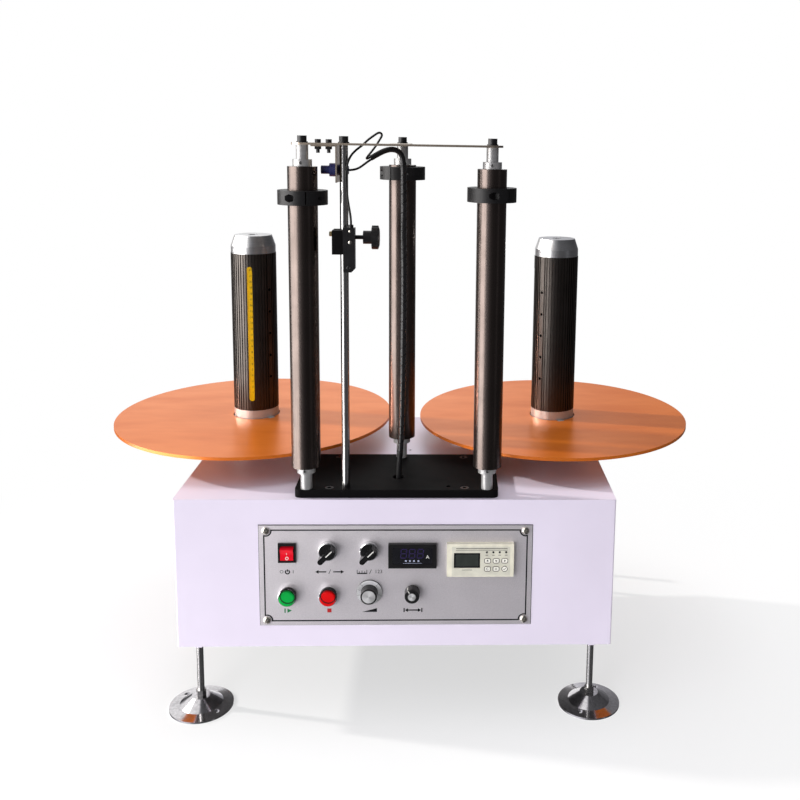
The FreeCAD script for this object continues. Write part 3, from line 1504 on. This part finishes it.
def rocker_switch():
    """Mains rocker in its bezel."""
    x = -S.column_rocker
    depth = S.rocker_depth
    bezel = middle_box("rocker_bezel", 0, 0, 0, S.rocker_width, S.rocker_height, S.rocker_bezel)
    body = middle_box("rocker_body", 0, 0, -depth, S.rocker_body_width, S.rocker_body_height,
                      depth + S.rocker_bezel)
    opening = middle_box("rocker_opening", 0, 0, S.rocker_wall - depth, S.rocker_key_width + 2 * S.turn_gap,
                         S.rocker_key_height + 4 * S.turn_gap, depth * 2)
    pin_length = S.rocker_key_width + 2 * S.rocker_pin_reach
    hole = cylinder("rocker_pin_hole", S.rocker_pin + 2 * S.running_gap, pin_length + 2 * S.turn_gap,
                    (-pin_length / 2 - S.turn_gap, 0, -S.rocker_pivot), "+X")
    node(front_place(cut("rocker_frame_cut", fuse("rocker_frame_solid", bezel, body), opening, hole), x,
                     S.row_rocker),
         "rocker_frame")
    key = new_body("rocker_key")
    drawing = sketch(key, "YZ_Plane", "rocker_profile")
    half = S.rocker_key_height / 2
    valley = S.rocker_pivot + S.rocker_bezel + S.rocker_rise / 2
    crest = valley + S.rocker_rise
    outline(drawing, [
        (0, valley),
        (half * 0.85, crest),
        (half * 0.97, S.rocker_pivot - S.sheet),
        (half, 0),
        (half * 0.3, -S.rocker_bezel),
        (-half * 0.3, -S.rocker_bezel),
        (-half, 0),
        (-half * 0.97, S.rocker_pivot - S.sheet),
        (-half * 0.85, crest),
    ])
    width_pad = pad(key, drawing, "rocker_pad", S.rocker_key_width)
    width_pad.Midplane = True
    pin = cylinder("rocker_pivot_pin", S.rocker_pin, pin_length, (-pin_length / 2, 0, 0), "+X")
    whole = fuse("rocker_solid", key, pin)
    facing = FreeCAD.Rotation(Vector(1, 0, 0), 90 + 8)
    place(whole, (x, panel_face + S.rocker_pivot, panel_z + S.row_rocker), facing.Axis,
          math.degrees(facing.Angle))
    node(whole, "rocker")


def boxed_meter(name, x, z, width, height, rise, inset, depth, screen):
    """Panel instrument: bezel in front, case behind, screen let into the face."""
    left, low, screen_width, screen_height = screen
    bezel = middle_box(name + "_bezel", 0, 0, 0, width, height, rise)
    case = middle_box(name + "_case", 0, 0, -depth, width - 2 * inset, height - 2 * inset, depth + rise / 2)
    glass = box(name + "_screen", left, low, rise - S.screen_recess, screen_width, screen_height,
                S.screen_recess * 2)
    return cut(name + "_cut", fuse(name + "_solid", bezel, case), glass)


def instruments():
    width = S.meter_width - 4 * S.meter_body_inset
    height = S.meter_height - 4 * S.meter_body_inset
    meter = boxed_meter("meter", 0, 0, S.meter_width, S.meter_height, S.meter_rise, S.meter_body_inset,
                        S.meter_depth,
                        (-width / 2, -height / 2, width, height))
    node(front_place(meter, S.column_right, S.meter_row), "ammeter")
    counter = boxed_meter("counter", 0, 0, S.counter_width, S.counter_height, S.counter_rise,
                          S.counter_body_inset,
                          S.counter_depth, (-S.counter_screen_left, -S.counter_screen_low,
                                            S.counter_screen_width, S.counter_screen_height))
    keys = []
    for column in range(3):
        for line in range(2):
            keys.append(middle_box(f"counter_key_{column}_{line}", S.key_first_x + column * S.key_pitch,
                                   line * S.key_pitch - S.key_first_z, S.counter_rise - 1, S.key_size,
                                   S.key_size,
                                   1 + S.key_lift))
    node(front_place(fuse("counter_and_keys", counter, *keys), S.counter_column, S.counter_row),
         "length_counter")


def controls():
    control_panel()
    switch_bodies()
    selector("direction_selector", 0, SIZES["selector_turn"])
    selector("unit_selector", 1, SIZES["selector_turn"])
    button("start_button", 2)
    button("stop_button", 3)
    dial_knob("speed_knob", 0, S.dial_diameter, S.dial_thickness, S.knob_diameter, S.knob_height,
              S.knob_cap)
    dial_knob("tension_knob", 1, S.small_skirt, S.dial_thickness, S.small_knob_diameter,
              S.small_knob_height,
              S.small_knob_cap)
    rocker_switch()
    instruments()


# Cables

def cord(name, points, diameter):
    """A round cable along straight runs joined by tangent arcs."""
    corners = [Vector(*[number_of(c) for c in point]) for point in points]
    edges = []
    start = corners[0]
    radii = []
    for before, corner, after in zip(corners, corners[1:], corners[2:]):
        incoming = corner - before
        outgoing = after - corner
        turn = incoming.getAngle(outgoing)
        shorter = min(incoming.Length, outgoing.Length)
        if turn < 1e-4:
            continue
        setback = 0.45 * shorter
        radius = setback / math.tan(turn / 2)
        radii.append(radius)
        inward = (before - corner).normalize()
        outward = (after - corner).normalize()
        arc_start = corner + inward * setback
        arc_end = corner + outward * setback
        bisector = (inward + outward).normalize()
        centre = corner + bisector * (radius / math.cos(turn / 2))
        middle = centre - bisector * radius
        edges.append(Part.LineSegment(start, arc_start).toShape())
        edges.append(Part.Arc(arc_start, middle, arc_end).toShape())
        start = arc_end
    edges.append(Part.LineSegment(start, corners[-1]).toShape())
    path = Part.Wire(edges)
    direction = (corners[1] - corners[0]).normalize()
    profile = Part.Wire([Part.Circle(corners[0], direction, number_of(diameter) / 2).toShape()])
    solid = path.makePipeShell([profile], True, False)
    expected = math.pi * (number_of(diameter) / 2) ** 2 * path.Length
    if abs(solid.Volume - expected) > 0.01 * expected:
        raise RuntimeError(f"{name} is not a plain tube: {solid.Volume} instead of {expected}")
    print(f"{name}: length {path.Length:.1f}, smallest radius {min(radii):.1f}")
    thing = doc.addObject("Part::Feature", name)
    thing.Shape = solid
    return thing


def cables():
    """Two sensor cables meet under the tie plate and go down in one wrapped bundle."""
    rod_x = -S.rod_side
    gland_x = rod_x + S.label_sensor_side + S.label_gland_side
    gland_y = rod_y - S.holder_depth / 2 - S.label_sensor_depth / 2
    gland_z = plate_top + S.holder_rise + S.holder_height + S.label_sensor_lift + S.label_gland_height
    lead = S.cable_lead
    node(cord("label_cable", [
        (gland_x, gland_y, gland_z),
        (gland_x, gland_y, gland_z + 0.4 * lead),
        (gland_x - 1.2, gland_y + 2, gland_z + lead),
        (gland_x - 5.2, rod_y - 12, gland_z + 2.2 * lead),
        (gland_x - 7.9, rod_y - 8.7, tie_bottom - 53),
        (gland_x - 7.5, rod_y - 8.2, tie_bottom - 30),
        (rod_x + 9, rod_y - 4, tie_bottom - 15.5),
        (rod_x + 16.5, rod_y + 5, tie_bottom - 6.5),
        (rod_x + 25.5, rod_y + 12.3, tie_bottom + 0.5),
        (rod_x + 32.5, rod_y + 13.8, tie_bottom + 7.8),
        (rod_x + 42.4, rod_y + 15.5, tie_bottom + 15.1),
        (rod_x + 47.9, rod_y + 15.8, tie_bottom + 18.6),
        (rod_x + 51.3, rod_y + 15.9, tie_bottom + 17.6),
        (rod_x + 52.7, rod_y + 16, tie_bottom + 14.3),
        (rod_x + 49.4, rod_y + 16, tie_bottom + 8.9),
        (rod_x + 43.7, rod_y + 16.2, tie_bottom - 0.4),
        (rod_x + 37.4, rod_y + 16.3, tie_bottom - 8.8),
        (rod_x + 34.1, rod_y + 16.3, tie_bottom - 12.9),
        (rod_x + 31.1, rod_y + 16.2, tie_bottom - 16.3),
        (rod_x + 30.3, rod_y + 18.2, tie_bottom - 18.3),
        (rod_x + 30.7, rod_y + 21, tie_bottom - 18.7),
        (rod_x + 32.7, rod_y + 23, tie_bottom - 18),
        (rod_x + 35.1, rod_y + 23, tie_bottom - 16.5),
    ], S.cable_diameter), "label_sensor_cable")

    tail_x = S.sensor_tail - S.bracket_side
    tail_y = front + S.sensor_setback
    tail_z = tie_bottom - S.sensor_drop
    node(cord("roller_cable", [
        (tail_x, tail_y, tail_z),
        (tail_x + 6, tail_y + 0.2, tail_z + 0.1),
        (tail_x + 14.5, tail_y + 3, tail_z + 3),
        (rod_x + 27.5, rod_y + 20, tie_bottom - 26.2),
        (rod_x + 32.1, rod_y + 22.2, tie_bottom - 22.6),
        (rod_x + 36.9, rod_y + 23, tie_bottom - 19.5),
    ], S.cable_diameter), "roller_sensor_cable")

    hole_y = front + S.cable_hole_setback
    node(cord("bundle", [
        (rod_x + 36, rod_y + 23, tie_bottom - 18),
        (rod_x + 44, rod_y + 24.5, tie_bottom - 13),
        (rod_x + 54.5, rod_y + 27, tie_bottom - 7.4),
        (rod_x + 64, rod_y + 30, tie_bottom - 4.8),
        (rod_x + 73, rod_y + 33, tie_bottom - 6.2),
        (rod_x + 79, rod_y + 35, tie_bottom - 12),
        (rod_x + 81.5, rod_y + 36.5, tie_bottom - 21),
        (rod_x + 82, hole_y - 1, tie_bottom - 38),
        (rod_x + 82.2, hole_y, tie_bottom - 66),
        (rod_x + 82.5, hole_y, plate_top + 0.75 * S.tie_height),
        (rod_x + 83, hole_y, plate_top + 0.59 * S.tie_height),
        (rod_x + 82.4, hole_y, plate_top + 0.43 * S.tie_height),
        (5.4, hole_y, plate_top + 0.27 * S.tie_height),
        (4.2, hole_y, plate_top + 0.14 * S.tie_height),
        (1.5, hole_y, plate_top + 0.065 * S.tie_height),
        (0, hole_y, plate_top + S.bundle_tail / 4),
        (0, hole_y, plate_top - S.bundle_tail),
    ], S.bundle_diameter), "cable_bundle")


def build():
    cabinet_shell()
    bottom_tray()
    levelling_feet()
    reels()
    ball_bearings()
    bearing_housings()
    drives()
    supply()
    base_plate()
    deck_bolts()
    roller_shafts()
    sensor_rod()
    shaft_collars()
    tie_plate()
    top_screws()
    guide_rollers()
    guide_rings()
    roller_sensor()
    rod_carriage()
    controls()
    cables()


def check():
    """Stops if an object failed or a sub-part is empty or broken."""
    failed = [thing.Name for thing in doc.Objects if "Invalid" in thing.State or "Error" in thing.State]
    if failed:
        raise RuntimeError(f"these objects failed: {failed}")
    for thing in NODES:
        if thing.Shape.isNull() or not thing.Shape.isValid() or thing.Shape.Volume <= 0:
            raise RuntimeError(f"{thing.Label} is empty or broken")


def write():
    os.makedirs(PARTS, exist_ok=True)
    for thing in NODES:
        thing.Shape.exportStep(os.path.join(PARTS, thing.Label + ".step"))
        bounds = thing.Shape.BoundBox
        print(f"{thing.Label}: {len(thing.Shape.Solids)} solids, {thing.Shape.Volume:.0f} mm3, "
              f"x {bounds.XMin:.1f} to {bounds.XMax:.1f}, y {bounds.YMin:.1f} to {bounds.YMax:.1f}, "
              f"z {bounds.ZMin:.1f} to {bounds.ZMax:.1f}")


build()
doc.recompute()
check()
write()
